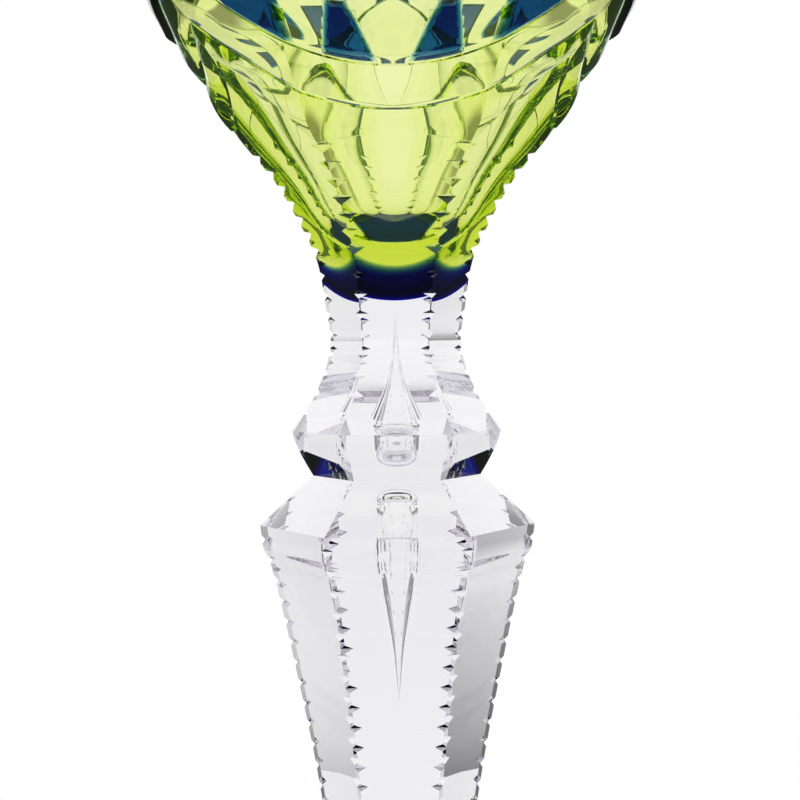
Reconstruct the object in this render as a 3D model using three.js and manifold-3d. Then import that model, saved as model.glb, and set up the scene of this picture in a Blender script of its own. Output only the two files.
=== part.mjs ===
// Stemmed glass: a clear six-sided cut stem with two trapped air tears, a blue cup, and a bowl
// of yellow-green glass that was cased in blue and cut back in tiers.
// Millimetres, Z up, origin at the middle of the foot's underside, front facet towards -Y.
import * as THREE from "three";
import { mergeVertices } from "three/addons/utils/BufferGeometryUtils.js";
import Module from "manifold-3d";

const wasm = await Module();
wasm.setup();

// Heights of the gathers, one on top of the other
const FOOT_HEIGHT = 14;
const SHAFT_LENGTH = 73.2;
const COLLAR_LOWER = 7.8;
const COLLAR_UPPER = 7.1;
const NECK_LENGTH = 20.8;
const CUP_THICKNESS = 1.4;
const BOWL_HEIGHT = 75.7;

// Foot
const FOOT_RADIUS = 38;
const FOOT_EDGE = 2.6;
const FOOT_EDGE_ROUND = 0.8;
const STAR_RAYS = 24;
const STAR_RADIUS = 31;
const STAR_DEPTH = 0.9;
const STAR_HALF_WIDTH = 2.2;

// Distance from the axis to the six corners of the stem, whose blank reaches into the bowl
const ANKLE_RADIUS = 10.8;
const SHAFT_RADIUS = 9.8;
const SHOULDER_RADIUS = 21.7;
const SHOULDER_BAND = 3.6;
const WAIST_RADIUS = 13.2;
const RIDGE_RADIUS = 16.8;
const NECK_RADIUS = 10.35;
const CUP_RADIUS = 12.3;
const BLANK_REACH = 12;

// Bowl
const RIM_RADIUS = 39.4;
const FLOOR_THICKNESS = 8.3;
const FLOOR_CURVE = 12;
const FLOOR_TURN = 54;
const RIM_WALL = 2.8;
const BOWL_WALL = 4.3;
const CUP_BOTTOM_CURVE = 19.8;
const CUP_TOP_CURVE = 17.1;
const SEAM_REACH = 14.5;

// Tiers, one on top of the other at the middle of a fan
const FACET_HEIGHT = 22.7;
const LOWER_TIER = 3.5;
const MIDDLE_TIER = 5.85;
const ROUNDING_HEIGHT = 23.3;
const TIER_LEDGE = 0.4;
const TIER_CURVE = 9;
const TIER_SWELL = 1.2;
const TOP_BULGE = 1.4;
const LOBE_SHARE = 0.03;

// How the tiers' edges dip and climb from the middle of a fan. The two side fans are cut higher.
const FACET_DIP = 1.3;
const FACET_CLIMB = 11.5;
const LOWER_RISE = 29;
const UPPER_RISE = 42;
const FAN_LIFT = 3.8;

// Casing
const CASING = 1;
const PATCH_HEIGHT = 8;
const BAND_HEIGHT = 17.5;
const BAND_ARCHES = 15;
const BAND_ARCH_RADIUS = 6.4;

// Air tears, measured from the seam that closes each wide end
const UPPER_TEAR_RADIUS = 4.2;
const UPPER_TEAR_COVER = 1.3;
const UPPER_TEAR_END = 3.3;
const LOWER_TEAR_RADIUS = 3.5;
const LOWER_TEAR_LENGTH = 26.2;
const LOWER_TEAR_END = 1.8;

// Notches cut across the corners
const NOTCH_BAR = 1.25;
const NOTCH_REACH = 4;
const STEM_NOTCH_DEPTH = 0.7;
const SHAFT_NOTCH_PITCH = 3.24;
const SHAFT_NOTCH_TOP = 2.2;
const NECK_NOTCH_PITCH = 3.05;
const BOWL_NOTCH_DEPTH = 0.95;
const BOWL_NOTCH_PITCH = 2.45;
const BOWL_NOTCH_END = 21;
const NOTCH_MARGIN = 3;

// Clearances between gathers: flat seams, and curved seams
const SEAM = 0.02;
const GAP = 0.3;

// Fineness of the round surfaces
const ROUND_STEPS = 60;
const SEAM_STEPS = 36;
const TEAR_STEPS = 32;
const WIDE = 200;

// Levels up the glass
const FOOT_TOP = FOOT_HEIGHT;
const SHOULDER = FOOT_TOP + SHAFT_LENGTH;
const WAIST = SHOULDER + COLLAR_LOWER;
const RIDGE = WAIST + COLLAR_UPPER;
const CUP_LEVEL = RIDGE + NECK_LENGTH;
const BOWL_LEVEL = CUP_LEVEL + CUP_THICKNESS;
const RIM = BOWL_LEVEL + BOWL_HEIGHT;
const BOWL_FLOOR = BOWL_LEVEL + FLOOR_THICKNESS;
const FACET_TOP = BOWL_LEVEL + FACET_HEIGHT;
const LOWER_ARC = FACET_TOP + LOWER_TIER;
const UPPER_ARC = LOWER_ARC + MIDDLE_TIER;
const UPPER_TEAR_LENGTH = NECK_LENGTH - UPPER_TEAR_COVER;

const rad = THREE.MathUtils.degToRad;
const CORNERS = [30, 90, 150, 210, 270, 330];

// Evenly spaced values, both ends included
const shares = (count, from = 0, to = 1) =>
  [...Array(count + 1).keys()].map((i) => from + ((to - from) * i) / Math.max(count, 1));

// Makes a closed geometry a solid that can be joined and cut.
function solid(geometry) {
  const bare = geometry.index ? geometry.toNonIndexed() : geometry;
  const shape = new THREE.BufferGeometry();
  shape.setAttribute("position", bare.getAttribute("position"));
  const merged = mergeVertices(shape, 1e-4);
  const corners = merged.index.array;
  const faces = [];
  for (let i = 0; i < corners.length; i += 3) {
    const [a, b, c] = [corners[i], corners[i + 1], corners[i + 2]];
    if (a !== b && b !== c && c !== a) faces.push(a, b, c);
  }
  const mesh = new wasm.Mesh({
    numProp: 3,
    vertProperties: merged.getAttribute("position").array,
    triVerts: new Uint32Array(faces),
  });
  return new wasm.Manifold(mesh);
}

// A profile of [radius, height] points turned about Z, as a solid. With few steps it is a prism
// whose first corner stands at the given angle from the front.
function turned(points, steps = ROUND_STEPS, start = 0) {
  const profile = points.map(([r, z]) => new THREE.Vector2(r, z));
  const lathe = new THREE.LatheGeometry(profile, steps, start);
  return solid(lathe.rotateX(Math.PI / 2));
}

// Radius of a profile at one height
function radiusAt(points, z) {
  const i = points.findIndex(([, height]) => height >= z);
  if (i <= 0) return i < 0 ? points[points.length - 1][0] : points[0][0];
  const [r0, z0] = points[i - 1];
  const [r1, z1] = points[i];
  return z1 === z0 ? r1 : r0 + ((r1 - r0) * (z - z0)) / (z1 - z0);
}

// The sweeps of the corner line: how far from the slim radius to the wide one, and how far up
const SHAFT_SWEEP = [[0, 0.17], [0.23, 0.43], [0.45, 0.62], [0.8, 0.88]];
const NECK_SWEEP = [[0.36, 0.285], [0, 0.625]];
const BOWL_SWEEP = [
  [0, 0.06],
  [0.113, 0.144],
  [0.26, 0.229],
  [0.48, 0.32],
  [0.644, 0.412],
  [0.865, 0.531],
  [1, 0.66],
  [1, 1],
];

function through(sweep, slim, wide, from, length) {
  return sweep.map(([out, up]) => new THREE.Vector2(slim + out * (wide - slim), from + up * length));
}

// The corner line of the cut glass from ankle to rim. Every second facet of the knop is cut
// straight to a sharp ridge; the facets between, the front one among them, roll over it.
function cornerLine(rolled) {
  const line = new THREE.Path();
  line.moveTo(ANKLE_RADIUS, FOOT_TOP);
  const shaft = through(SHAFT_SWEEP, SHAFT_RADIUS, SHOULDER_RADIUS, FOOT_TOP, SHAFT_LENGTH);
  line.splineThru([...shaft, new THREE.Vector2(SHOULDER_RADIUS - 0.5, SHOULDER - SHOULDER_BAND)]);
  line.lineTo(SHOULDER_RADIUS, SHOULDER);
  line.lineTo(WAIST_RADIUS, WAIST);
  if (rolled) {
    const roll = 0.2 * (RIDGE_RADIUS - WAIST_RADIUS);
    line.quadraticCurveTo(RIDGE_RADIUS, RIDGE - 0.35 * COLLAR_UPPER, RIDGE_RADIUS - roll, RIDGE);
  } else {
    line.lineTo(RIDGE_RADIUS, RIDGE);
  }
  line.splineThru([
    ...through(NECK_SWEEP, NECK_RADIUS, RIDGE_RADIUS, RIDGE, NECK_LENGTH),
    new THREE.Vector2((2 * NECK_RADIUS + CUP_RADIUS) / 3, CUP_LEVEL - CUP_THICKNESS),
    ...through(BOWL_SWEEP, CUP_RADIUS, RIM_RADIUS - TOP_BULGE, BOWL_LEVEL, BOWL_HEIGHT),
  ]);
  return line.getPoints(3).map((p) => [p.x, p.y]);
}

const sharpLine = cornerLine(false);
const rolledLine = cornerLine(true);

// A slice of everything between two levels
function slab(low, high) {
  const box = new THREE.BoxGeometry(WIDE, WIDE, high - low);
  return solid(box.translate(0, 0, (low + high) / 2));
}

// Everything above a round-bottomed seam: the seam is a sphere's lower cap, then runs out level.
function aboveSeam(level, curve) {
  const points = shares(7, 0, SEAM_REACH).map((r) => [r, level + curve - Math.sqrt(curve * curve - r * r)]);
  const edge = points[points.length - 1][1];
  const outline = [...points, [WIDE, edge], [WIDE, RIM + WIDE], [0, RIM + WIDE]];
  return turned(outline, SEAM_STEPS);
}

// The stem before notching is two three-sided cuts, turned 60 degrees apart, that make a hexagon.
function threeSided(line, start) {
  const below = line.filter(([, z]) => z < BOWL_LEVEL + BLANK_REACH);
  const toCorner = 2 * Math.cos(rad(30));
  const cut = below.map(([r, z]) => [r * toCorner, z]);
  const top = cut[cut.length - 1][1];
  return turned([[0, FOOT_TOP], ...cut, [0, top]], 3, start);
}

const stemBlank = threeSided(rolledLine, rad(60)).intersect(threeSided(sharpLine, 0));

// One mitre notch: a square bar, corner inwards, drawn across a corner of the glass
function notch(z, corner, depth) {
  const slope = (radiusAt(sharpLine, z + 1) - radiusAt(sharpLine, z - 1)) / 2;
  const bar = new THREE.CylinderGeometry(NOTCH_BAR, NOTCH_BAR, 2 * NOTCH_REACH, 4);
  bar.rotateZ(Math.PI / 2);
  bar.translate(0, -NOTCH_BAR + depth, 0);
  bar.rotateX(Math.atan(slope));
  bar.translate(0, -radiusAt(sharpLine, z), z);
  bar.rotateZ(rad(corner));
  return solid(bar);
}

// Rows of notches from one height to another, one notch at each of the six corners in a row
function notches(first, last, pitch, depth) {
  const rows = Math.floor(Math.abs(last - first) / pitch + 1e-6);
  const step = Math.sign(last - first) * pitch;
  const heights = shares(rows, first, first + rows * step);
  return heights.flatMap((z) => CORNERS.map((corner) => notch(z, corner, depth)));
}

const allNotches = wasm.Manifold.union([
  ...notches(SHOULDER - SHAFT_NOTCH_TOP, FOOT_TOP + SEAM + NOTCH_BAR, SHAFT_NOTCH_PITCH, STEM_NOTCH_DEPTH),
  ...notches(RIDGE + NOTCH_MARGIN, BOWL_LEVEL + NOTCH_MARGIN, NECK_NOTCH_PITCH, STEM_NOTCH_DEPTH),
  ...notches(BOWL_LEVEL + 2 * NOTCH_MARGIN, BOWL_LEVEL + BOWL_NOTCH_END, BOWL_NOTCH_PITCH, BOWL_NOTCH_DEPTH),
]);

// Air tears: each has its wide end across a seam, where the next gather sealed it.
const upperTear = turned(
  [
    [0, -UPPER_TEAR_END],
    [0.78 * UPPER_TEAR_RADIUS, -0.82 * UPPER_TEAR_END],
    [UPPER_TEAR_RADIUS, -0.42 * UPPER_TEAR_END],
    [0.97 * UPPER_TEAR_RADIUS, 0],
    [0.74 * UPPER_TEAR_RADIUS, 0.115 * UPPER_TEAR_LENGTH],
    [0.43 * UPPER_TEAR_RADIUS, 0.29 * UPPER_TEAR_LENGTH],
    [0.24 * UPPER_TEAR_RADIUS, 0.46 * UPPER_TEAR_LENGTH],
    [0.14 * UPPER_TEAR_RADIUS, 0.59 * UPPER_TEAR_LENGTH],
    [0.06 * UPPER_TEAR_RADIUS, 0.81 * UPPER_TEAR_LENGTH],
    [0, UPPER_TEAR_LENGTH],
  ].map(([r, z]) => [r, RIDGE + z]),
  TEAR_STEPS,
);
const lowerTear = turned(
  [
    [0, -LOWER_TEAR_LENGTH],
    [0.25 * LOWER_TEAR_RADIUS, -0.68 * LOWER_TEAR_LENGTH],
    [0.57 * LOWER_TEAR_RADIUS, -0.43 * LOWER_TEAR_LENGTH],
    [0.76 * LOWER_TEAR_RADIUS, -0.3 * LOWER_TEAR_LENGTH],
    [LOWER_TEAR_RADIUS, -0.1 * LOWER_TEAR_LENGTH],
    [0.98 * LOWER_TEAR_RADIUS, 0],
    [0.71 * LOWER_TEAR_RADIUS, 0.56 * LOWER_TEAR_END],
    [0, LOWER_TEAR_END],
  ].map(([r, z]) => [r, SHOULDER + z]),
  TEAR_STEPS,
);

// Foot: six facets run down from the ankle and die away on the round disc.
function footBlank() {
  const rise = FOOT_HEIGHT - FOOT_EDGE;
  const flare = new THREE.QuadraticBezierCurve(
    new THREE.Vector2(FOOT_RADIUS, FOOT_EDGE),
    new THREE.Vector2(ANKLE_RADIUS + 0.1 * (FOOT_RADIUS - ANKLE_RADIUS), FOOT_EDGE + 0.22 * rise),
    new THREE.Vector2(ANKLE_RADIUS, FOOT_HEIGHT - SEAM),
  ).getPoints(9);
  const inner = FOOT_RADIUS - FOOT_EDGE_ROUND;
  const points = [new THREE.Vector2(0, 0), new THREE.Vector2(inner, 0)];
  points.push(new THREE.Vector2(FOOT_RADIUS, FOOT_EDGE_ROUND), ...flare);
  points.push(new THREE.Vector2(0, FOOT_HEIGHT - SEAM));
  const lathe = new THREE.LatheGeometry(points, ROUND_STEPS).rotateX(Math.PI / 2);
  const place = lathe.getAttribute("position");
  for (let i = 0; i < place.count; i++) {
    const [x, y, z] = [place.getX(i), place.getY(i), place.getZ(i)];
    const share = THREE.MathUtils.smoothstep(z, FOOT_EDGE, FOOT_EDGE + 0.45 * rise);
    const draw = 1 - share * (1 - hexagon(Math.atan2(x, -y)));
    place.setXYZ(i, x * draw, y * draw, z);
  }
  return solid(lathe);
}

// How far a unit hexagon with corners 30 degrees off the front reaches at one angle
function hexagon(angle) {
  const side = rad(60);
  const off = angle - side * Math.round(angle / side);
  return Math.cos(side / 2) / Math.cos(off);
}

function starRay(number) {
  const ray = new THREE.OctahedronGeometry(1);
  ray.scale(STAR_RADIUS, STAR_HALF_WIDTH, STAR_DEPTH);
  return solid(ray.rotateZ((number * 2 * Math.PI) / STAR_RAYS));
}

const star = wasm.Manifold.union([...Array(STAR_RAYS / 2).keys()].map(starRay));

// Height of a line at an angle: each of the three fans has it, and the lowest is what is left.
// Neighbours meet in a point over every second facet.
const FANS = [-120, 0, 120];

function lowestFan(line, angle) {
  const heights = FANS.map((middle) => {
    const turn = THREE.MathUtils.euclideanModulo(THREE.MathUtils.radToDeg(angle) - middle + 180, 360);
    return line(Math.abs(turn - 180)) + (middle === 0 ? 0 : FAN_LIFT);
  });
  return Math.min(...heights);
}

// The lines by degrees off a fan's middle: the flat facets' tops, and the arcs over them
const facetLine = (off) => {
  const corner = off / CORNERS[0];
  return FACET_TOP - FACET_DIP * Math.min(corner, 1) ** 2 + FACET_CLIMB * Math.max(corner - 1, 0) ** 1.1;
};
const arcLine = (low, rise) => (off) => low + rise * (1 - Math.cos(rad(Math.min(off, 90)))) ** 1.25;

// The levels that bound the tiers: seat, top of the flat facets, lower arc, upper arc and rim
function level(number, angle) {
  if (number === 0) return BOWL_LEVEL - 1;
  if (number === 1) return lowestFan(facetLine, angle);
  if (number === 2) return lowestFan(arcLine(LOWER_ARC, LOWER_RISE), angle);
  if (number === 3) return lowestFan(arcLine(UPPER_ARC, UPPER_RISE), angle);
  return RIM;
}

// How far a tier stands out. The lower two swell as a wheel of one radius leaves them, and the
// top one in a quick lobe. The casing lies on the top one and thins out to nothing at its foot.
function swell(tier, share, height, under) {
  if (tier === 0) return 0;
  if (tier === 3) return (TOP_BULGE - under) * Math.sin((Math.PI / 2) * Math.min(share / LOBE_SHARE, 1));
  return 4 * share * (1 - share) * Math.min(height ** 2 / (8 * TIER_CURVE), TIER_SWELL);
}

// A point of the bowl's outside: how far up one tier, how much casing lies over it, and a gap
function bowlPoint(angle, { tier, share, under = 0, gap = 0 }) {
  const low = level(tier, angle);
  const height = level(tier + 1, angle) - low;
  const z = low + share * height;
  const roundness = THREE.MathUtils.smoothstep(z, FACET_TOP, FACET_TOP + ROUNDING_HEIGHT);
  const section = 1 - (1 - roundness) * (1 - hexagon(angle));
  const ledge = tier === 1 ? TIER_LEDGE * (1 - share) : 0;
  const r = radiusAt(sharpLine, z) * section + swell(tier, share, height, under) + ledge - gap;
  return new THREE.Vector3(r * Math.sin(angle), -r * Math.cos(angle), z);
}

// A solid whose stations follow the tiers round the bowl. A station on the axis holds a height.
function tiered(stations) {
  const dummy = stations.map((s, row) => new THREE.Vector2("height" in s ? 0 : 1, row));
  const lathe = new THREE.LatheGeometry(dummy, ROUND_STEPS);
  const place = lathe.getAttribute("position");
  for (let i = 0; i < place.count; i++) {
    const station = stations[i % stations.length];
    const angle = (Math.floor(i / stations.length) * 2 * Math.PI) / ROUND_STEPS;
    const turn = angle % (2 * Math.PI);
    if ("height" in station) place.setXYZ(i, 0, 0, station.height);
    else place.setXYZ(i, ...bowlPoint(turn, station));
  }
  return solid(lathe);
}

const bowlOutside = tiered([
  { height: level(0, 0) },
  ...shares(4).map((share) => ({ tier: 0, share })),
  ...shares(3).map((share) => ({ tier: 1, share })),
  ...shares(3, 0.25).map((share) => ({ tier: 2, share })),
  ...[0, LOBE_SHARE, 0.12, 0.35, 0.65, 1].map((share) => ({ tier: 3, share, under: CASING, gap: GAP })),
  { height: RIM },
]);

// The inside of the bowl is a round bottom, then keeps the wall to the flats and thins to the rim.
const insideLine = shares(5, 0, rad(FLOOR_TURN)).map((turn) => [
  FLOOR_CURVE * Math.sin(turn),
  BOWL_FLOOR + FLOOR_CURVE * (1 - Math.cos(turn)),
]);
for (const share of shares(7, 0.15, 1)) {
  const z = BOWL_FLOOR + share * (RIM - BOWL_FLOOR);
  const roundness = THREE.MathUtils.smoothstep(z, FACET_TOP, FACET_TOP + ROUNDING_HEIGHT);
  const flat = 1 - (1 - roundness) * (1 - hexagon(0));
  insideLine.push([radiusAt(sharpLine, z) * flat - THREE.MathUtils.lerp(BOWL_WALL, RIM_WALL, share), z]);
}
insideLine.push([insideLine[insideLine.length - 1][0], RIM + 1], [0, RIM + 1]);

// Casing: a shell round the top tier, through the given shares of its height
function casing(...at) {
  const outer = at.map((share) => ({ tier: 3, share }));
  const inner = [...outer].reverse().map((s) => ({ ...s, under: CASING }));
  return tiered([...outer, ...inner, outer[0]]);
}

const topTier = RIM - UPPER_ARC;
const patchMiddle = (PATCH_HEIGHT + GAP) / 2;
const patchRing = casing(GAP / topTier, LOBE_SHARE, patchMiddle / topTier, PATCH_HEIGHT / topTier);

// Sides of the five kinds of patch in a fan, as angles from its middle: left and right, low then high
const PATCH_SIDES = [
  [54, 66, 56, 64],
  [-45, -26.9, -45.7, -27.9],
  [-20.4, -4.6, -16.3, -11.2],
  [4.6, 20.4, 11.2, 16.3],
  [26.9, 45, 27.9, 45.7],
];

function patch(fan, sides) {
  const middle = (sides[0] + sides[1]) / 2;
  const foot = level(3, rad(fan + middle));
  const across = (angle) => (radiusAt(sharpLine, foot) + TOP_BULGE) * Math.sin(rad(angle - middle));
  const low = foot - PATCH_HEIGHT;
  const high = foot + PATCH_HEIGHT;
  const slope = (side) => across(sides[side + 2]) - across(sides[side]);
  const outline = new THREE.Shape([
    new THREE.Vector2(across(sides[0]) - slope(0), low),
    new THREE.Vector2(across(sides[1]) - slope(1), low),
    new THREE.Vector2(across(sides[3]), high),
    new THREE.Vector2(across(sides[2]), high),
  ]);
  const block = new THREE.ExtrudeGeometry(outline, { depth: 2 * RIM_RADIUS, bevelEnabled: false });
  block.rotateX(Math.PI / 2);
  return patchRing.intersect(solid(block.rotateZ(rad(fan + middle))));
}

// The band's lower edge is cut back in arches.
const bandLow = RIM - BAND_HEIGHT;
const bandArch = new THREE.CylinderGeometry(BAND_ARCH_RADIUS, BAND_ARCH_RADIUS, RIM_RADIUS, 12);
bandArch.translate(0, -0.8 * RIM_RADIUS, bandLow);
const arches = [...Array(BAND_ARCHES).keys()].map((i) => {
  const turn = (i * 2 * Math.PI) / BAND_ARCHES;
  return solid(bandArch.clone().rotateZ(turn));
});
const bandShell = casing(0.25, 0.6, 1).intersect(slab(bandLow, RIM + 1));

// Materials
const glass = (color, opacity) =>
  new THREE.MeshStandardMaterial({ color, opacity, transparent: true, roughness: 0.04, metalness: 0 });
const crystal = glass(0xe9e7ee, 0.35);
const yellowGreen = glass(0xc9dc52, 0.6);
const blue = glass(0x0b4a7d, 0.85);

const glassware = new THREE.Group();

function add(name, shape, material) {
  const made = shape.getMesh();
  const geometry = new THREE.BufferGeometry();
  geometry.setAttribute("position", new THREE.BufferAttribute(made.vertProperties, 3));
  geometry.setIndex(new THREE.BufferAttribute(made.triVerts, 1));
  const mesh = new THREE.Mesh(geometry, material);
  mesh.name = name;
  glassware.add(mesh);
}

const cutStem = stemBlank.subtract(allNotches);
const cupBelow = aboveSeam(CUP_LEVEL, CUP_BOTTOM_CURVE);
const cupAbove = aboveSeam(BOWL_LEVEL - GAP, CUP_TOP_CURVE);
const bowlBelow = aboveSeam(BOWL_LEVEL, CUP_TOP_CURVE);

add("foot", footBlank().subtract(star), crystal);
add("shaft", cutStem.intersect(slab(FOOT_TOP, SHOULDER)).subtract(lowerTear), crystal);
const knop = cutStem.intersect(slab(SHOULDER + SEAM, RIDGE));
add("knop", knop.subtract(lowerTear).subtract(upperTear), crystal);
const neck = cutStem.intersect(slab(RIDGE + SEAM, RIDGE + 2 * NECK_LENGTH));
add("neck", neck.subtract(aboveSeam(CUP_LEVEL - GAP, CUP_BOTTOM_CURVE)).subtract(upperTear), crystal);
add("blue_cup", cutStem.intersect(cupBelow).subtract(cupAbove), blue);
const lining = bowlOutside.intersect(bowlBelow).subtract(turned(insideLine));
add("bowl_lining", lining.subtract(allNotches), yellowGreen);
add("casing_band", bandShell.subtract(wasm.Manifold.union(arches)), blue);
for (let fan = 0; fan < 3; fan++) {
  PATCH_SIDES.forEach((sides, i) => {
    const number = String(fan * PATCH_SIDES.length + i + 1).padStart(2, "0");
    add("casing_patch_" + number, patch(fan * FANS[2], sides), blue);
  });
}

export default glassware;
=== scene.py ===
import math

import bmesh
import bpy
from mathutils import Euler, Matrix, Vector


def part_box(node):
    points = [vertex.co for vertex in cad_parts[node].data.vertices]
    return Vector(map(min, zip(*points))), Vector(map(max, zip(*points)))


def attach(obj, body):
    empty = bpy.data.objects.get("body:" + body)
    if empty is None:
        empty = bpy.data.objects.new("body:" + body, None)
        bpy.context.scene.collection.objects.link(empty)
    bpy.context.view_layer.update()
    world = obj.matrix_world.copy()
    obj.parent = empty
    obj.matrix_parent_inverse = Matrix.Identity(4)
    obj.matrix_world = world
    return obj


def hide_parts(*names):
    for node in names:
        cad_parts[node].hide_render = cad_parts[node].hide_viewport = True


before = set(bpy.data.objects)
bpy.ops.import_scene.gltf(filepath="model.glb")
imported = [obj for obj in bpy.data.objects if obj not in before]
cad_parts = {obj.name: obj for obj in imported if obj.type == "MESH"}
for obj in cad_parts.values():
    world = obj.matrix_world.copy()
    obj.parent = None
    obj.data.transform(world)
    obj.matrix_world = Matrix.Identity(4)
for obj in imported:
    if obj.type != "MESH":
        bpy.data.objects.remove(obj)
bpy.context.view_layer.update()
scene = bpy.context.scene


# Camera: the photograph looks level at the neck from 30 cm away and crops the rim and the foot.
# Its frame is 800 pixels wide, one pixel is 0.158 mm at the glass's axis, and the stem leans
# half a degree to the left in it. The glass's sizes are in millimetres, the studio's in metres.
PIXEL = 0.158
FRAME_PIXELS = 800
TABLE_PIXEL = 1076
HORIZON_PIXEL = 320
AXIS_PIXEL = 395.5
DISTANCE_PIXELS = 1900
LEAN_DEGREES = 0.55
CLIP_START = 0.01
MM_PER_METRE = 1000

camera = bpy.data.objects.new("camera", bpy.data.cameras.new("camera"))
scene.collection.objects.link(camera)
scene.camera = camera
camera.data.lens = camera.data.sensor_width * DISTANCE_PIXELS / FRAME_PIXELS
camera_height = (TABLE_PIXEL - HORIZON_PIXEL) * PIXEL
camera.location = Vector((0, -DISTANCE_PIXELS * PIXEL, camera_height)) / MM_PER_METRE
camera.rotation_euler = Euler((math.radians(90), math.radians(LEAN_DEGREES), 0))
camera.data.shift_x = (FRAME_PIXELS / 2 - AXIS_PIXEL) / FRAME_PIXELS
camera.data.shift_y = (HORIZON_PIXEL - FRAME_PIXELS / 2) / FRAME_PIXELS
camera.data.clip_start = CLIP_START


# Studio: a white paper sweep behind the glass, a dimmer room on the camera's side, and a table.
# The world holds the sweep and the room, so that every view and every reflection shows them. At
# both sides the sweep has a dark gap low down, which comes a little further in at the left, and
# past the gap stands white card again. Their edges are lengths on a unit direction: y for the
# room, |x| - z for the gap, and |x| for its end.
SWEEP_LIGHT = 1.0
ROOM_LIGHT = 0.45
ROOM_EDGE = (-0.9, -0.1)
GAP_LIGHT = 0.15
GAP_EDGE = (0.48, 0.83)
GAP_LEFT = 0.09
GAP_END = (0.88, 0.95)
TABLE_SIZE = 6.0
TABLE_DROP = 0.0002


def linear(code):
    """An sRGB hex colour as linear red, green and blue, with alpha."""
    channels = [int(code[i:i + 2], 16) / 255 for i in (1, 3, 5)]
    return tuple(c / 12.92 if c <= 0.04045 else ((c + 0.055) / 1.055) ** 2.4 for c in channels) + (1,)


def add_node(tree, kind, settings=None, values=None, links=None):
    """A new node. Its sockets are named, or numbered where they share a name."""
    node = tree.nodes.new(kind)
    for name, value in (settings or {}).items():
        setattr(node, name, value)
    for name, value in (values or {}).items():
        node.inputs[name].default_value = value
    for name, source in (links or {}).items():
        tree.links.new(source, node.inputs[name])
    return node


world = bpy.data.worlds.new("studio")
scene.world = world
world.use_nodes = True
sky = world.node_tree
sky.nodes.clear()
direction = add_node(sky, "ShaderNodeTexCoord")
heading = add_node(sky, "ShaderNodeSeparateXYZ", links={"Vector": direction.outputs["Generated"]})
light = add_node(
    sky, "ShaderNodeMapRange", {"interpolation_type": "SMOOTHSTEP"},
    {"From Min": ROOM_EDGE[0], "From Max": ROOM_EDGE[1], "To Min": ROOM_LIGHT, "To Max": SWEEP_LIGHT},
    {"Value": heading.outputs["Y"]},
)
sideways = add_node(sky, "ShaderNodeMath", {"operation": "ABSOLUTE"}, links={0: heading.outputs["X"]})
low_side = add_node(
    sky, "ShaderNodeMath", {"operation": "SUBTRACT"},
    links={0: sideways.outputs["Value"], 1: heading.outputs["Z"]},
)
leftward = add_node(
    sky, "ShaderNodeMath", {"operation": "MULTIPLY_ADD"}, {1: -GAP_LEFT},
    {0: heading.outputs["X"], 2: low_side.outputs["Value"]},
)
gap = add_node(
    sky, "ShaderNodeMapRange", {"interpolation_type": "SMOOTHSTEP"},
    {"From Min": GAP_EDGE[0], "From Max": GAP_EDGE[1], "To Min": 1.0, "To Max": GAP_LIGHT},
    {"Value": leftward.outputs["Value"]},
)
beyond = add_node(
    sky, "ShaderNodeMapRange", {"interpolation_type": "SMOOTHSTEP"},
    {"From Min": GAP_END[0], "From Max": GAP_END[1], "To Min": 0.0, "To Max": 1.0},
    {"Value": sideways.outputs["Value"]},
)
paper_share = add_node(
    sky, "ShaderNodeMath", {"operation": "MAXIMUM"},
    links={0: gap.outputs["Result"], 1: beyond.outputs["Result"]},
)
strength = add_node(
    sky, "ShaderNodeMath", {"operation": "MULTIPLY"},
    links={0: light.outputs["Result"], 1: paper_share.outputs["Value"]},
)
glow = add_node(
    sky, "ShaderNodeBackground", values={"Color": linear("#FFFFFF")},
    links={"Strength": strength.outputs["Value"]},
)
add_node(sky, "ShaderNodeOutputWorld", links={"Surface": glow.outputs["Background"]})

table_mesh = bpy.data.meshes.new("table")
shape = bmesh.new()
bmesh.ops.create_grid(shape, x_segments=1, y_segments=1, size=TABLE_SIZE / 2)
bmesh.ops.translate(shape, verts=shape.verts, vec=(0, 0, -TABLE_DROP))
shape.to_mesh(table_mesh)
shape.free()
table = bpy.data.objects.new("table", table_mesh)
scene.collection.objects.link(table)

# The table is paper white, but its mirror image in the glass's front is kept dim, as the
# photograph's blue glass is black there. A dark card lies on it at each side behind the glass,
# out of the picture. Only the glass shows it, as the dark sides of the lower air tear.
PAPER_ROUGHNESS = 0.9
PAPER_GLOW = 0.21
DIM_LIGHT = 0.08
CARD_PLACE = (0.33, 0.1, 0)
CARD_EDGE = (0.11, 0.19)
CARD_SHARE = 0.75

paper = bpy.data.materials.new("white_paper")
paper.use_nodes = True
sheet = paper.node_tree
sheet.nodes.clear()
white = add_node(
    sheet, "ShaderNodeBsdfPrincipled",
    values={
        "Base Color": linear("#F2F2F2"),
        "Roughness": PAPER_ROUGHNESS,
        "Emission Color": linear("#FFFFFF"),
        "Emission Strength": PAPER_GLOW,
    },
)
dim = add_node(sheet, "ShaderNodeEmission", values={"Strength": DIM_LIGHT})
rays = add_node(sheet, "ShaderNodeLightPath")
coordinates = add_node(sheet, "ShaderNodeTexCoord")
spot = add_node(sheet, "ShaderNodeSeparateXYZ", links={"Vector": coordinates.outputs["Object"]})
either_side = add_node(sheet, "ShaderNodeMath", {"operation": "ABSOLUTE"}, links={0: spot.outputs["X"]})
folded = add_node(
    sheet, "ShaderNodeCombineXYZ",
    links={"X": either_side.outputs["Value"], "Y": spot.outputs["Y"]},
)
from_card = add_node(
    sheet, "ShaderNodeVectorMath", {"operation": "DISTANCE"}, {1: CARD_PLACE},
    {0: folded.outputs["Vector"]},
)
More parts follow.
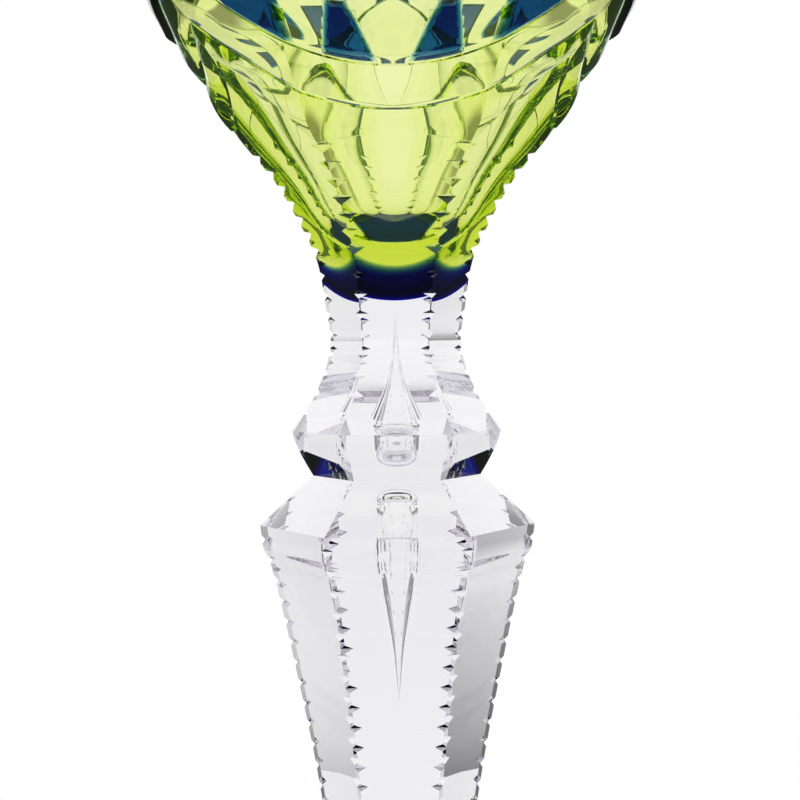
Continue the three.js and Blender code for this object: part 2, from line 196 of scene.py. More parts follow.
card = add_node(
    sheet, "ShaderNodeMapRange", {"interpolation_type": "SMOOTHSTEP"},
    {"From Min": CARD_EDGE[0], "From Max": CARD_EDGE[1], "To Min": CARD_SHARE, "To Max": 0.0},
    {"Value": from_card.outputs["Value"]},
)
hidden_card = add_node(
    sheet, "ShaderNodeMath", {"operation": "SUBTRACT"},
    links={0: card.outputs["Result"], 1: rays.outputs["Is Camera Ray"]},
)
dim_share = add_node(
    sheet, "ShaderNodeMath", {"operation": "MAXIMUM"},
    links={0: rays.outputs["Is Reflection Ray"], 1: hidden_card.outputs["Value"]},
)
seen = add_node(
    sheet, "ShaderNodeMixShader",
    links={0: dim_share.outputs["Value"], 1: white.outputs["BSDF"], 2: dim.outputs["Emission"]},
)
add_node(sheet, "ShaderNodeOutputMaterial", links={"Surface": seen.outputs["Shader"]})
table_mesh.materials.append(paper)

# Light crosses many surfaces in cut glass before it leaves it.
GLASS_BOUNCES = 48
MIRROR_BOUNCES = 16

scene.view_settings.view_transform = "Standard"
scene.cycles.max_bounces = GLASS_BOUNCES
scene.cycles.transmission_bounces = GLASS_BOUNCES
scene.cycles.glossy_bounces = MIRROR_BOUNCES


# Foot: a clear crystal disc that is dropped on to the end of the shaft while hot, and then cut:
# six facets run down from the stem and die away on it, and a star is cut underneath.
FOOT_EDGE = 2.6
FOOT_EDGE_ROUND = 0.8
FOOT_EDGE_STEPS = 6
FLARE_OUT = 0.1
FLARE_UP = 0.22
FLARE_STEPS = 32
FACET_FADE = 0.45
STAR_RAYS = 24
STAR_RADIUS = 31
STAR_HALF_WIDTH = 2.2
STAR_DEPTH = 0.9
ANKLE_RADIUS = 10.8
SEAM = 0.01
ROUND_STEPS = 180
MERGE_DISTANCE = 1e-4


def low(node):
    """Height of a CAD node's lowest point."""
    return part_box(node)[0].z * MM_PER_METRE


def high(node):
    """Height of a CAD node's highest point."""
    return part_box(node)[1].z * MM_PER_METRE


def spun(name, profile, steps=ROUND_STEPS, start=0):
    """A profile of (radius, height) points turned about the glass's axis."""
    shape = bmesh.new()
    turn = Matrix.Rotation(math.radians(start), 4, "Z")
    line = [shape.verts.new(turn @ Vector((0, -radius, height))) for radius, height in profile]
    edges = [shape.edges.new(pair) for pair in zip(line, line[1:])]
    bmesh.ops.spin(
        shape, geom=line + edges, cent=(0, 0, 0), axis=(0, 0, 1),
        angle=math.tau, steps=steps, use_merge=True,
    )
    bmesh.ops.remove_doubles(shape, verts=shape.verts, dist=MERGE_DISTANCE)
    return made(name, shape)


def made(name, shape):
    """A closed shape as an object, with its faces turned outwards."""
    bmesh.ops.recalc_face_normals(shape, faces=shape.faces)
    if shape.calc_volume(signed=True) < 0:
        bmesh.ops.reverse_faces(shape, faces=shape.faces)
    mesh = bpy.data.meshes.new(name)
    shape.to_mesh(mesh)
    shape.free()
    piece = bpy.data.objects.new(name, mesh)
    scene.collection.objects.link(piece)
    return piece


def worked(piece, tool, operation="DIFFERENCE", solver="MANIFOLD"):
    """Cuts a piece with a tool, or keeps what they share. The tool stays for the next cut."""
    change = piece.modifiers.new("cut", "BOOLEAN")
    change.operation = operation
    change.object = tool
    change.solver = solver
    change.use_self = solver == "EXACT"
    view = bpy.context.evaluated_depsgraph_get()
    mesh = bpy.data.meshes.new_from_object(piece.evaluated_get(view))
    piece.modifiers.clear()
    old = piece.data
    piece.data = mesh
    bpy.data.meshes.remove(old)


def dropped(*tools):
    """Removes tools that have made their last cut."""
    for tool in tools:
        bpy.data.meshes.remove(tool.data)


def hexagon(angle):
    """How far a hexagon with corners 30 degrees off the front reaches at an angle."""
    side = math.radians(60)
    return math.cos(side / 2) / math.cos(angle - side * round(angle / side))


def smooth(value, start, end):
    """A soft step from 0 at the start to 1 at the end."""
    share = min(max((value - start) / (end - start), 0), 1)
    return share * share * (3 - 2 * share)


def bezier(a, b, c, steps):
    """Points on the bend from a to c that b pulls towards itself."""
    for i in range(steps + 1):
        t = i / steps
        yield tuple((1 - t) ** 2 * p + 2 * t * (1 - t) * q + t * t * r for p, q, r in zip(a, b, c))


foot_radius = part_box("foot")[1].x * MM_PER_METRE
foot_top = high("foot")
rise = foot_top - FOOT_EDGE
flare = bezier(
    (foot_radius, FOOT_EDGE),
    (ANKLE_RADIUS + FLARE_OUT * (foot_radius - ANKLE_RADIUS), FOOT_EDGE + FLARE_UP * rise),
    (ANKLE_RADIUS, foot_top),
    FLARE_STEPS,
)
edge = bezier(
    (foot_radius - FOOT_EDGE_ROUND, 0),
    (foot_radius, 0),
    (foot_radius, FOOT_EDGE_ROUND),
    FOOT_EDGE_STEPS,
)
foot = spun("foot_crystal", [(0, 0), *edge, *flare, (0, foot_top)])
for vertex in foot.data.vertices:
    x, y, z = vertex.co
    share = smooth(z, FOOT_EDGE, FOOT_EDGE + FACET_FADE * rise)
    draw = 1 - share * (1 - hexagon(math.atan2(x, -y)))
    vertex.co = (x * draw, y * draw, z)

shape = bmesh.new()
for ray in range(STAR_RAYS // 2):
    size = Matrix.Diagonal((STAR_RADIUS, STAR_HALF_WIDTH, STAR_DEPTH, 1))
    turn = Matrix.Rotation(ray * math.tau / STAR_RAYS, 4, "Z")
    tips = [Vector(p) for p in ((1, 0, 0), (0, 1, 0), (-1, 0, 0), (0, -1, 0), (0, 0, 1), (0, 0, -1))]
    bmesh.ops.convex_hull(shape, input=[shape.verts.new(turn @ size @ tip) for tip in tips])
star = made("star", shape)
worked(foot, star, solver="EXACT")
dropped(star)

# Lead crystal, ground and polished on the wheel, is clear and mirror smooth. Its faint lavender
# is the decolouriser of such glass, and shows where it is thick. Fused gathers have no surface
# between them. Here a seam of a hundredth of a millimetre stands open there, so the index of the
# faces along it is 1.
GLASS_INDEX = 1.54
FUSED_INDEX = 1.0
CREASE_DEGREES = 18
WELD_DISTANCE = 1e-5
LEVEL_FACING = 0.99
LEVEL_SEAM_DEPTH = 0.02


def glass(name, colour, density, glow="#000000"):
    """Polished glass whose colour comes from its thickness. Density is per metre. Glow is a painted
    emission colour, black for none.
    """
    material = bpy.data.materials.new(name)
    material.use_nodes = True
    tree = material.node_tree
    tree.nodes.clear()
    index = add_node(tree, "ShaderNodeAttribute", {"attribute_name": "index"})
    surface = add_node(
        tree, "ShaderNodeBsdfPrincipled",
        values={
            "Base Color": linear("#FFFFFF"),
            "Roughness": 0.0,
            "Transmission Weight": 1.0,
            "IOR": GLASS_INDEX,
            # The emission colour is a painted glow, not light that reaches the glass.
            "Emission Color": linear(glow),
            "Emission Strength": 1.0,
        },
        links={"IOR": index.outputs["Fac"]},
    )
    inside = add_node(
        tree, "ShaderNodeVolumeAbsorption", values={"Color": linear(colour), "Density": density},
    )
    add_node(
        tree, "ShaderNodeOutputMaterial",
        links={"Surface": surface.outputs["BSDF"], "Volume": inside.outputs["Volume"]},
    )
    return material


def polished(piece, material, fused):
    """Brings a piece to metres, smooths its curves, and marks the faces fused to a neighbour."""
    shape = bmesh.new()
    shape.from_mesh(piece.data)
    bmesh.ops.remove_doubles(shape, verts=shape.verts, dist=WELD_DISTANCE)
    index = shape.faces.layers.float.new("index")
    for face in shape.faces:
        face.smooth = True
        face[index] = FUSED_INDEX if fused(face.calc_center_median(), face.normal) else GLASS_INDEX
    bmesh.ops.scale(shape, vec=[1 / MM_PER_METRE] * 3, verts=shape.verts)
    shape.to_mesh(piece.data)
    shape.free()
    piece.data.set_sharp_from_angle(angle=math.radians(CREASE_DEGREES))
    piece.data.materials.clear()
    piece.data.materials.append(material)


def level_seam(*levels):
    """Says whether a face lies on a flat seam at one of the levels."""
    def fused(centre, normal):
        flat = abs(normal.z) > LEVEL_FACING
        return flat and any(abs(centre.z - z) < LEVEL_SEAM_DEPTH for z in levels)
    return fused


crystal = glass("lead_crystal", colour="#BCB5CC", density=7)
polished(foot, crystal, level_seam(foot_top))
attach(foot, "root")
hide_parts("foot")


# Shaft: a clear gather drawn into a tapering stem, cut with six flat facets and notched with a
# mitre wheel down every corner. An air tear, pricked in while it was soft, points down in it.
# A sweep's points give the share of the way out and the share of the way up.
SHAFT_RADIUS = 9.8
SHOULDER_RADIUS = 21.7
SHOULDER_BAND = 3.6
SHOULDER_DRAW = 0.5
WAIST_RADIUS = 13.2
COLLAR_UPPER = 7.1
RIDGE_RADIUS = 16.8
ROLL_IN = 0.2
ROLL_BEND = 0.35
ROLL_STEPS = 12
NECK_RADIUS = 10.35
CUP_RADIUS = 12.3
RIM_RADIUS = 39.35
TOP_BULGE = 1.4
SHAFT_SWEEP = ((0, 0.17), (0.23, 0.43), (0.45, 0.62), (0.8, 0.88))
NECK_SWEEP = ((0.36, 0.285), (0, 0.625))
BOWL_SWEEP = (
    (0, 0.06), (0.113, 0.144), (0.26, 0.229), (0.48, 0.32),
    (0.644, 0.412), (0.865, 0.531), (1, 0.66), (1, 1),
)
CURVE_STEPS = 10
STEM_REACH = 14

shoulder = high("shaft")
ridge = high("knop")
cup_level = low("blue_cup")
bowl_level = low("bowl_lining")
rim = high("bowl_lining")


def through(sweep, slim, wide, start, length):
    """The points of a sweep between two radii, over a length above the start."""
    return [(slim + out * (wide - slim), start + up * length) for out, up in sweep]


def curve(points):
    """A smooth line through the points, in short steps."""
    line = []
    ends = [points[0], *points, points[-1]]
    for a, b, c, d in zip(ends, ends[1:], ends[2:], ends[3:]):
        for i in range(CURVE_STEPS):
            t = i / CURVE_STEPS
            weights = (
                -t + 2 * t ** 2 - t ** 3,
                2 - 5 * t ** 2 + 3 * t ** 3,
                t + 4 * t ** 2 - 3 * t ** 3,
                t ** 3 - t ** 2,
            )
            columns = zip(a, b, c, d)
            line.append(tuple(sum(w * p for w, p in zip(weights, column)) / 2 for column in columns))
    return line + [points[-1]]


def corner_line(rolled):
    """The line of the corners from ankle to rim. Every second facet of the knop rolls over."""
    line = curve([
        (ANKLE_RADIUS, foot_top),
        *through(SHAFT_SWEEP, SHAFT_RADIUS, SHOULDER_RADIUS, foot_top, shoulder - foot_top),
        (SHOULDER_RADIUS - SHOULDER_DRAW, shoulder - SHOULDER_BAND),
    ])
    waist = (WAIST_RADIUS, ridge - COLLAR_UPPER)
    line += [(SHOULDER_RADIUS, shoulder), waist]
    top = (RIDGE_RADIUS, ridge)
    if rolled:
        top = (RIDGE_RADIUS - ROLL_IN * (RIDGE_RADIUS - WAIST_RADIUS), ridge)
        bend = (RIDGE_RADIUS, ridge - ROLL_BEND * COLLAR_UPPER)
        line += list(bezier(waist, bend, top, ROLL_STEPS))[1:-1]
    line += curve([
        top,
        *through(NECK_SWEEP, NECK_RADIUS, RIDGE_RADIUS, ridge, cup_level - ridge),
        ((2 * NECK_RADIUS + CUP_RADIUS) / 3, 2 * cup_level - bowl_level),
        *through(BOWL_SWEEP, CUP_RADIUS, RIM_RADIUS - TOP_BULGE, bowl_level, rim - bowl_level),
    ])
    return line


def radius_at(line, z):
    """Radius at a height of a line of (radius, height) points."""
    for (r0, z0), (r1, z1) in zip(line, line[1:]):
        if z0 <= z <= z1 and z1 > z0:
            return r0 + (r1 - r0) * (z - z0) / (z1 - z0)
    return line[0][0] if z < line[0][1] else line[-1][0]


sharp_line = corner_line(False)
rolled_line = corner_line(True)


def three_sided(name, line, start):
    """One of two three-sided cuts, turned 60 degrees apart, that leave the six facets."""
    cut = [(2 * math.cos(math.radians(30)) * r, z) for r, z in line if z < bowl_level + STEM_REACH]
    return spun(name, [(0, foot_top), *cut, (0, cut[-1][1])], 3, start)


stem = three_sided("stem", rolled_line, 60)
other_facets = three_sided("other_facets", sharp_line, 0)
worked(stem, other_facets, "INTERSECT")
dropped(other_facets)

# The notches stand at one pitch on the shaft, one on the neck and one on the bowl. Each row is
# given as its height and its depth.
NOTCH_BAR = 1.25
NOTCH_REACH = 4
STEM_NOTCH_DEPTH = 0.65
SHAFT_NOTCH_TOP = 2.2
SHAFT_NOTCH_PITCH = 3.24
NECK_NOTCH_PITCH = 3.05
NOTCH_MARGIN = 3
BOWL_NOTCH_DEPTH = 0.9
BOWL_NOTCH_PITCH = 2.45
BOWL_NOTCH_END = 21
ROUNDING_ERROR = 1e-6


def rows(first, last, pitch, depth):
    """Rows of notches one pitch apart, from the first height as far as the last."""
    count = int(abs(last - first) / pitch + ROUNDING_ERROR) + 1
    return [(first + math.copysign(pitch, last - first) * i, depth) for i in range(count)]


notch_rows = [
    *rows(shoulder - SHAFT_NOTCH_TOP, foot_top + NOTCH_BAR, SHAFT_NOTCH_PITCH, STEM_NOTCH_DEPTH),
    *rows(ridge + NOTCH_MARGIN, bowl_level + NOTCH_MARGIN, NECK_NOTCH_PITCH, STEM_NOTCH_DEPTH),
    *rows(bowl_level + 2 * NOTCH_MARGIN, bowl_level + BOWL_NOTCH_END, BOWL_NOTCH_PITCH, BOWL_NOTCH_DEPTH),
]


def notch_bars(name, corners):
    """Square bars, each laid corner inwards across one corner of the glass."""
    shape = bmesh.new()
    side = math.sqrt(2) * NOTCH_BAR
    for z, depth in notch_rows:
        slope = (radius_at(sharp_line, z + 1) - radius_at(sharp_line, z - 1)) / 2
        for corner in corners:
            place = (
                Matrix.Rotation(math.radians(corner), 4, "Z")
                @ Matrix.Translation((0, -radius_at(sharp_line, z), z))
                @ Matrix.Rotation(math.atan(slope), 4, "X")
                @ Matrix.Translation((0, depth - NOTCH_BAR, 0))
                @ Matrix.Rotation(math.radians(45), 4, "X")
                @ Matrix.Diagonal((2 * NOTCH_REACH, side, side, 1))
            )
            bmesh.ops.create_cube(shape, size=1, matrix=place)
    return made(name, shape)


even_notches = notch_bars("even_notches", (30, 150, 270))
odd_notches = notch_bars("odd_notches", (90, 210, 330))
worked(stem, even_notches)
worked(stem, odd_notches)

# A tear's points give the share of its radius and the share of its length.
LOWER_TEAR_RADIUS = 3.5
LOWER_TEAR_LENGTH = 26.2
LOWER_TEAR_END = 1.8
LOWER_TEAR_END_WIDTH = 0.9
LOWER_TEAR_END_STEPS = 12
LOWER_TEAR = ((0, 1), (0.25, 0.68), (0.57, 0.43), (0.76, 0.3), (1, 0.1), (0.98, 0))
TEAR_STEPS = 96
CUT_DISTANCE = 1e-3


def between(name, piece, bottom, top):
    """A copy of a piece, cut level at both ends and closed."""
    shape = bmesh.new()
    shape.from_mesh(piece.data)
    for z, normal in ((bottom, (0, 0, -1)), (top, (0, 0, 1))):
        everything = shape.verts[:] + shape.edges[:] + shape.faces[:]
        cut = bmesh.ops.bisect_plane(
            shape, geom=everything, plane_co=(0, 0, z), plane_no=normal,
            clear_outer=True, dist=CUT_DISTANCE,
        )
        edge = [e for e in cut["geom_cut"] if isinstance(e, bmesh.types.BMEdge)]
        if edge:
            bmesh.ops.holes_fill(shape, edges=edge)
    return made(name, shape)


tear_line = curve([(r * LOWER_TEAR_RADIUS, shoulder - z * LOWER_TEAR_LENGTH) for r, z in LOWER_TEAR])
tear_end = (0, shoulder + LOWER_TEAR_END)
tear_side = (LOWER_TEAR_END_WIDTH * LOWER_TEAR_RADIUS, shoulder + LOWER_TEAR_END)
tear_line += list(bezier(tear_line[-1], tear_side, tear_end, LOWER_TEAR_END_STEPS))[1:]
lower_tear = spun("lower_tear", [(max(r, 0), z) for r, z in tear_line], TEAR_STEPS)

shaft = between("shaft_crystal", stem, foot_top + SEAM, shoulder)
worked(shaft, lower_tear)
polished(shaft, crystal, level_seam(foot_top + SEAM, shoulder))
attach(shaft, "root")
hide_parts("shaft")


# Knop: a clear gather over the tear's wide end, cut to two ridges. Every second facet is cut
# to a sharp ridge, and those between, the front one among them, roll over it.
UPPER_TEAR_RADIUS = 4.2
UPPER_TEAR_COVER = 1.3
UPPER_TEAR_END = 3.3
UPPER_TEAR_END_WIDTH = 1.08
UPPER_TEAR_END_STEPS = 16
UPPER_TEAR_MOUTH = 0.97
UPPER_TEAR = (
    (UPPER_TEAR_MOUTH, 0), (0.74, 0.115), (0.43, 0.29), (0.24, 0.46), (0.14, 0.59), (0.06, 0.81), (0, 1),
)

tear_length = cup_level - ridge - UPPER_TEAR_COVER
tear_end = (0, ridge - UPPER_TEAR_END)
tear_side = (UPPER_TEAR_END_WIDTH * UPPER_TEAR_RADIUS, ridge - UPPER_TEAR_END)
tear_mouth = (UPPER_TEAR_MOUTH * UPPER_TEAR_RADIUS, ridge)
tear_line = list(bezier(tear_end, tear_side, tear_mouth, UPPER_TEAR_END_STEPS))[:-1]
tear_line += curve([(r * UPPER_TEAR_RADIUS, ridge + z * tear_length) for r, z in UPPER_TEAR])
upper_tear = spun("upper_tear", tear_line, TEAR_STEPS)

knop = between("knop_crystal", stem, shoulder + SEAM, ridge)
worked(knop, lower_tear)
worked(knop, upper_tear)
polished(knop, crystal, level_seam(shoulder + SEAM, ridge))
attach(knop, "root")
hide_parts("knop")


# Neck: the clear gather between the knop and the blue glass. Its tear hangs the other way up,
# with a long thin tip that the glass closed round as it was drawn out.
CUP_BOTTOM_CURVE = 19.8
CUP_TOP_CURVE = 17.1
SEAM_REACH = 14.5
SEAM_STEPS = 24
ROUND_SEAM_DEPTH = 0.03
STEM_TRIM = 1


def above_seam(name, level, bend):
    """Everything above a round-bottomed seam."""
    reach = [SEAM_REACH * i / SEAM_STEPS for i in range(SEAM_STEPS + 1)]
    line = [(r, level + bend - math.sqrt(bend * bend - r * r)) for r in reach]
    far = 3 * RIM_RADIUS
    return spun(name, [*line, (far, line[-1][1]), (far, rim + far), (0, rim + far)])


def round_seam(level, bend, below):
    """Says whether a face lies on a round-bottomed seam, with the glass above it or below it."""
    middle = Vector((0, 0, level + bend))

    def fused(centre, normal):
        side = normal.z > 0 if below else normal.z < 0
        near = abs((centre - middle).length - bend) < ROUND_SEAM_DEPTH
        return side and near and centre.z < level + bend / 2
    return fused


stem_end = bowl_level + STEM_REACH - STEM_TRIM
neck_floor = level_seam(ridge + SEAM)
neck_top = round_seam(cup_level - SEAM, CUP_BOTTOM_CURVE, True)
cup_space = above_seam("cup_space", cup_level - SEAM, CUP_BOTTOM_CURVE)
neck = between("neck_crystal", stem, ridge + SEAM, stem_end)
worked(neck, cup_space)
worked(neck, upper_tear)
polished(neck, crystal, lambda centre, normal: neck_floor(centre, normal) or neck_top(centre, normal))
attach(neck, "root")
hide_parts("neck")
dropped(cup_space, lower_tear, upper_tear)


# Blue cup: the outer gather of cobalt blue glass, left whole under the bowl. It is so deep a
# blue that a few millimetres are almost black, and what light they let through is pure blue.
deep_cobalt = glass("deep_cobalt_glass", colour="#00A4F6", density=4300)
cup_floor = round_seam(cup_level, CUP_BOTTOM_CURVE, False)
cup_top = round_seam(bowl_level - SEAM, CUP_TOP_CURVE, True)
cup_blank = above_seam("cup_blank", cup_level, CUP_BOTTOM_CURVE)
bowl_space = above_seam("bowl_space", bowl_level - SEAM, CUP_TOP_CURVE)
cup = between("cup_cobalt", stem, ridge + SEAM, stem_end)
worked(cup, cup_blank, "INTERSECT")
worked(cup, bowl_space)
polished(cup, deep_cobalt, lambda centre, normal: cup_floor(centre, normal) or cup_top(centre, normal))
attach(cup, "root")
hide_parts("blue_cup")
dropped(cup_blank, bowl_space, stem)


# Bowl: yellow-green glass, blown thick and cased in blue, then cut back. Six flat facets rise
# from the stem, and above them three fans of tiers climb to points, each tier a shallow swell.
# Places round it are in degrees off the middle of a fan.
FLOOR_THICKNESS = 8.3
FLOOR_CURVE = 12
FLOOR_TURN = 54
RIM_WALL = 2.8
BOWL_WALL = 4.3
SEAT_DROP = 1
FACET_HEIGHT = 22.7
LOWER_TIER = 3.5
MIDDLE_TIER = 5.85
ROUNDING_HEIGHT = 23.3
TIER_LEDGE = 0.4
TIER_CURVE = 9
TIER_SWELL = 1.2
LOBE_SHARE = 0.03
HALF_FACET = 30
FACET_DIP = 1.3
FACET_CLIMB = 11.5
FACET_BEND = 1.1
FAN_TURN = 120
FAN_LIFT = 3.8
ARC_END = 90
ARC_BEND = 1.25
LOWER_RISE = 29
UPPER_RISE = 42
GROOVE_DEPTH = 0.2
GROOVE_HALF_WIDTH = 0.3
CASING = 1.0
BOWL_STEPS = 360

facet_top = bowl_level + FACET_HEIGHT
bowl_floor = bowl_level + FLOOR_THICKNESS


def facet_line(off):
    """Height of the facets' top, at degrees off the middle of a fan."""
    corner = off / HALF_FACET
    return facet_top - FACET_DIP * min(corner, 1) ** 2 + FACET_CLIMB * max(corner - 1, 0) ** FACET_BEND


def climb(off):
    """How far an arc has risen at degrees off the middle of its fan, as a share of its rise."""
    return (1 - math.cos(math.radians(min(off, ARC_END)))) ** ARC_BEND


def lower_arc(off):
    return facet_top + LOWER_TIER + LOWER_RISE * climb(off)


def upper_arc(off):
    return facet_top + LOWER_TIER + MIDDLE_TIER + UPPER_RISE * climb(off)


def level(number, angle):
    """Height of the seat, the facets' top, the lower arc, the upper arc or the rim at an angle.

    Each of three fans has these lines, the side ones a little higher, and the lowest is left.
    """
    if number == 0:
        return bowl_level - SEAT_DROP
    if number == 4:
        return rim
    line = (facet_line, lower_arc, upper_arc)[number - 1]
    turns = [(math.degrees(angle) - middle + 180) % 360 - 180 for middle in (0, -FAN_TURN, FAN_TURN)]
    front, *sides = [line(abs(turn)) for turn in turns]
    return min(front, *(side + FAN_LIFT for side in sides))


def swell(tier, share, height, under):
    """How far a tier stands out at a share of its height. The top one swells at its foot only."""
    if tier == 0:
        return 0
    if tier == 3:
        return (TOP_BULGE - under) * math.sin(math.pi / 2 * min(share / LOBE_SHARE, 1))
    return 4 * share * (1 - share) * min(height ** 2 / (8 * TIER_CURVE), TIER_SWELL)


def bowl_point(angle, tier, share, under=0.0, gap=0.0):
    """A point of the bowl's outside: how far up one tier, how much casing is over it, and a gap."""
    bottom = level(tier, angle)
    height = level(tier + 1, angle) - bottom
    z = bottom + share * height
    section = 1 - (1 - smooth(z, facet_top, facet_top + ROUNDING_HEIGHT)) * (1 - hexagon(angle))
    ledge = TIER_LEDGE * (1 - share) if tier == 1 else 0
    above = share * height if tier == 2 else GROOVE_HALF_WIDTH
    below = (1 - share) * height if tier in (1, 2) else GROOVE_HALF_WIDTH
    groove = GROOVE_DEPTH * max(1 - min(above, below) / GROOVE_HALF_WIDTH, 0)
    r = radius_at(sharp_line, z) * section + swell(tier, share, height, under) + ledge - groove - gap
    return Vector((r * math.sin(angle), -r * math.cos(angle), z))


def tiered(name, stations):
    """A turned solid whose stations follow the tiers. A station gives a point for an angle."""
    shape = bmesh.new()
    number = shape.verts.layers.int.new("station")
    line = [shape.verts.new((0, -1, i)) for i in range(len(stations))]
    for i, vertex in enumerate(line):
        vertex[number] = i
    edges = [shape.edges.new(pair) for pair in zip(line, line[1:])]
    bmesh.ops.spin(
        shape, geom=line + edges, cent=(0, 0, 0), axis=(0, 0, 1),
        angle=math.tau, steps=BOWL_STEPS, use_merge=True,
    )
    for vertex in shape.verts:
        vertex.co = stations[vertex[number]](math.atan2(vertex.co.x, -vertex.co.y))
    bmesh.ops.remove_doubles(shape, verts=shape.verts, dist=MERGE_DISTANCE)
    return made(name, shape)


def on_tier(tier, share, under=0.0):
    """A station at a share of a tier's height."""
    return lambda angle: bowl_point(angle, tier, share, under)


def by_arc(tier, distance):
    """A station at a distance up from a tier's lower edge, or down from its upper edge if minus."""
    def place(angle):
        height = level(tier + 1, angle) - level(tier, angle)
        return bowl_point(angle, tier, distance / height if distance > 0 else 1 + distance / height)
    return place


def on_circle(radius, z):
    """A station at one radius and height all round."""
    return lambda angle: Vector((radius * math.sin(angle), -radius * math.cos(angle), z))


def shares(count, start=0.0, end=1.0):
    """Values from start to end in a count of even steps."""
    return [start + (end - start) * i / count for i in range(count + 1)]


# Rows of faces from the seat to the rim and back down inside. Each is a count, and where the rows
# don't fill their tier or wall, the shares of its height between which they run.
FACET_ROWS = 24
LOWER_ROWS = (6, 0, 0.8)
MIDDLE_ROWS = (8, 0.1, 0.9)
LOBE_ROWS = (4, 0, LOBE_SHARE)
TOP_ROWS = (28, 0.05)
WALL_ROWS = (7, 0.15, 1)
FLOOR_ROWS = 4

inside = []
for turn in shares(FLOOR_ROWS, 0, math.radians(FLOOR_TURN)):
    inside.append((FLOOR_CURVE * math.sin(turn), bowl_floor + FLOOR_CURVE * (1 - math.cos(turn))))
for share in shares(*WALL_ROWS):
    z = bowl_floor + share * (rim - bowl_floor)
    flat = 1 - (1 - smooth(z, facet_top, facet_top + ROUNDING_HEIGHT)) * (1 - hexagon(0))
    inside.append((radius_at(sharp_line, z) * flat - BOWL_WALL - (RIM_WALL - BOWL_WALL) * share, z))

outside = [on_circle(0, bowl_level - SEAT_DROP)]
outside += [on_tier(0, share) for share in shares(FACET_ROWS)]
outside += [on_tier(1, share) for share in shares(*LOWER_ROWS)]
outside += [by_arc(1, -GROOVE_HALF_WIDTH), on_tier(1, 1), by_arc(2, GROOVE_HALF_WIDTH)]
outside += [on_tier(2, share) for share in shares(*MIDDLE_ROWS)]
outside += [by_arc(2, -GROOVE_HALF_WIDTH), on_tier(2, 1)]
outside += [on_tier(3, share, CASING) for share in shares(*LOBE_ROWS) + shares(*TOP_ROWS)]
hollow = [on_circle(max(r, 0), z) for r, z in reversed(curve(inside))]
lining = tiered("bowl_yellow_green", outside + hollow)
lining_blank = above_seam("lining_blank", bowl_level, CUP_TOP_CURVE)
worked(lining, lining_blank, "INTERSECT")
worked(lining, even_notches)
worked(lining, odd_notches)
dropped(lining_blank, even_notches, odd_notches)

# Where the casing was left, as sides of each patch in degrees from the middle of its fan: left
# and right at the foot, then left and right at the top.
PATCH_HEIGHT = 8.0
PATCH_SIDES = (
    (54, 66, 56, 64),
    (-45, -26.9, -45.7, -27.9),
    (-20.4, -4.6, -16.3, -11.2),
    (4.6, 20.4, 11.2, 16.3),
    (26.9, 45, 27.9, 45.7),
)
BAND_HEIGHT = 17.5
BAND_ARCHES = 15
BAND_ARCH_RADIUS = 6.4
SIDE_FACING = 0.3

top_tier = rim - upper_arc(0)
patches = [(FAN_TURN * fan, sides) for fan in range(3) for sides in PATCH_SIDES]


def patch_edges(fan, sides, share):
    """Left and right edge of a patch, as angles, at a share of the patch's height."""
    left = sides[0] + share * (sides[2] - sides[0])
    right = sides[1] + share * (sides[3] - sides[1])
    return math.radians(fan + left), math.radians(fan + right)


def band_edge(angle):
    """Height of the rim band's lower edge, which its arches cut into."""
    pitch = math.tau / BAND_ARCHES
    across = RIM_RADIUS * (angle - pitch * round(angle / pitch))
    return rim - BAND_HEIGHT + math.sqrt(max(BAND_ARCH_RADIUS ** 2 - across ** 2, 0))


def under_casing(centre, normal):
    """Says whether a face of the bowl's outside lies under the band or under a patch."""
    angle = math.atan2(centre.x, -centre.y)
    foot = level(3, angle)
    if centre.z < foot or centre.xy.dot(normal.xy) < SIDE_FACING * centre.xy.length:
        return False
    if centre.z > band_edge(angle):
        return True
    share = (centre.z - foot) / (rim - foot) * top_tier / PATCH_HEIGHT
    if share > 1:
        return False
    edges = [patch_edges(fan, sides, share) for fan, sides in patches]
    return any((angle - left) % math.tau < right - left for left, right in edges)


# This glass is given a faint painted glow, an emission of its own that stands in for light running along
# inside it, and shows most of all at its edges.
yellow_green = glass("yellow_green_glass", colour="#EBF328", density=130, glow="#0D1B02")
lining_seam = round_seam(bowl_level, CUP_TOP_CURVE, False)
polished(
    lining, yellow_green,
    lambda centre, normal: lining_seam(centre, normal) or under_casing(centre, normal),
)
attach(lining, "root")
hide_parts("bowl_lining")


# Casing patches: islands of the blue outer layer that the wheel left standing between the
# cuts. The cuts run out through the layer at a slant, so the blue fades to teal at the sides.
PATCH_CELLS = 24
PATCH_TAPER = 1.4
PATCH_FOOT = 0.025
THIN_EDGE = 0.05
HALF_SHEET = 0.5


def faded(distance):
    """How much of the casing is cut off at a distance from its edge."""
    return CASING * (1 - THIN_EDGE) * (1 - smooth(distance, 0, PATCH_TAPER))


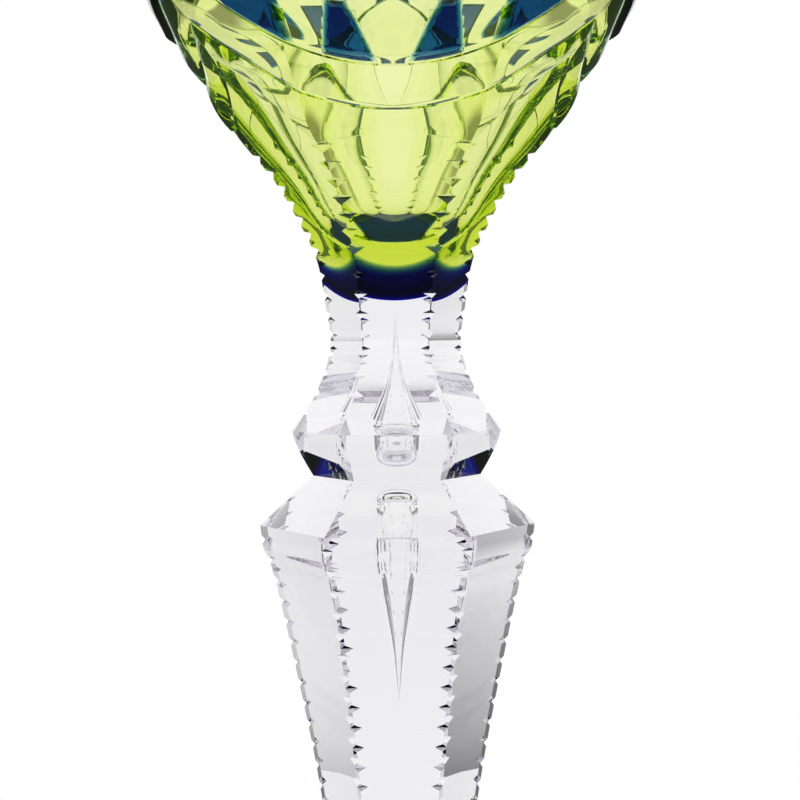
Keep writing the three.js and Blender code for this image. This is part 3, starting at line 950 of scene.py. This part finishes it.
def inner_side(centre, normal):
    """Says whether a face of the casing is turned to the bowl under it."""
    return centre.xy.dot(normal.xy) < -SIDE_FACING * centre.xy.length


# Of the same cobalt glass a layer of a millimetre lets through teal as well as blue.
cobalt = glass("cobalt_glass", colour="#00BEEC", density=6000)

for number, (fan, sides) in enumerate(patches, 1):
    shape = bmesh.new()
    grid = bmesh.ops.create_grid(shape, x_segments=PATCH_CELLS, y_segments=PATCH_CELLS, size=HALF_SHEET)
    bmesh.ops.extrude_face_region(shape, geom=shape.faces[:])
    outer = set(grid["verts"])
    for vertex in shape.verts:
        across = vertex.co.x + HALF_SHEET
        up = PATCH_FOOT + (vertex.co.y + HALF_SHEET) * (1 - PATCH_FOOT)
        left, right = patch_edges(fan, sides, up)
        angle = left + across * (right - left)
        width = RIM_RADIUS * (right - left)
        nearest = min(across * width, (1 - across) * width, (1 - up) * PATCH_HEIGHT)
        under, gap = (faded(nearest), 0) if vertex in outer else (CASING, -SEAM)
        vertex.co = bowl_point(angle, 3, up * PATCH_HEIGHT / top_tier, under, gap)
    name = "casing_patch_%02d" % number
    patch = made(name + "_cobalt", shape)
    polished(patch, cobalt, inner_side)
    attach(patch, "root")
    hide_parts(name)


# Casing band: the same blue layer left round the rim, its lower edge cut back in arches. Its
# rows of faces lie closer near that edge, where the layer thins out.
BAND_EDGE_ROWS = (10, 0, 0.2)
BAND_ROWS = (8, 0.3)


def on_band(share, inner):
    """A station at a share of the band's height, on its outside or against the bowl."""
    def place(angle):
        edge = band_edge(angle)
        z = edge + share * (rim - edge)
        foot = level(3, angle)
        under, gap = (CASING, -SEAM) if inner else (faded(z - edge), 0)
        return bowl_point(angle, 3, (z - foot) / (rim - foot), under, gap)
    return place


band_shares = shares(*BAND_EDGE_ROWS) + shares(*BAND_ROWS)
stations = [on_band(share, False) for share in band_shares]
stations += [on_band(share, True) for share in reversed(band_shares)]
band = tiered("casing_band_cobalt", [*stations, stations[0]])
polished(band, cobalt, inner_side)
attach(band, "root")
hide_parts("casing_band")
